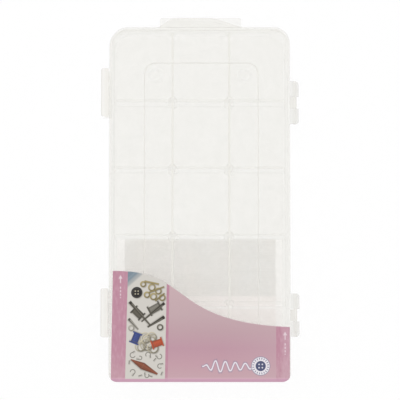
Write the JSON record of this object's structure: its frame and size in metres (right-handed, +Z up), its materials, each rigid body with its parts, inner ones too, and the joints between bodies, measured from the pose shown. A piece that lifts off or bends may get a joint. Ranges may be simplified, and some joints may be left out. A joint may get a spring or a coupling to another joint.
{
  "type": "compartment storage box",
  "caption": "Shallow clear-frosted hinged box with snap latches, loose dividers in a grid of compartments, a lift tab and a wrapped pink label",
  "frame": {"origin": "middle of the body's width and of the whole length with the lift tab, on the plane the ring feet stand on", "axes": "+Z up out of the lid, +Y along the box towards the lift tab, +X towards the hinges"},
  "size_m": [0.1094, 0.2021, 0.0222],
  "materials": {
    "frosted_plastic": "translucent natural polypropylene, satin",
    "label_print": "printed film, satin",
    "label_paper": "pale printed film, matte"
  },
  "bodies": {
    "tray": {"base_tray": "frosted_plastic", "label_back": "label_paper", "divider_row1_left": "frosted_plastic", "divider_row1_right": "frosted_plastic", "divider_row2_left": "frosted_plastic", "divider_row2_right": "frosted_plastic", "divider_row3_left": "frosted_plastic", "divider_row3_right": "frosted_plastic", "divider_row4_left": "frosted_plastic", "divider_row4_right": "frosted_plastic", "divider_row5_left": "frosted_plastic", "divider_row5_right": "frosted_plastic"},
    "lid": {"lid": "frosted_plastic", "label_front": "label_print"},
    "latch_tab_end": {"latch_tab_end": "frosted_plastic"},
    "latch_label_end": {"latch_label_end": "frosted_plastic"}
  },
  "joints": [
    {"name": "lid_hinge", "type": "hinge", "parent": "tray", "child": "lid", "pos_m": [0.0527, -0.003, 0.0154], "axis": [0, 1, 0], "range_deg": [0, 180]},
    {"name": "latch_tab_end_pivot", "type": "hinge", "parent": "tray", "child": "latch_tab_end", "pos_m": [-0.0514, 0.05855, 0.0065], "axis": [0, -1, 0], "range_deg": [0, 95]},
    {"name": "latch_label_end_pivot", "type": "hinge", "parent": "tray", "child": "latch_label_end", "pos_m": [-0.0514, -0.0632, 0.0065], "axis": [0, -1, 0], "range_deg": [0, 95]}
  ]
}
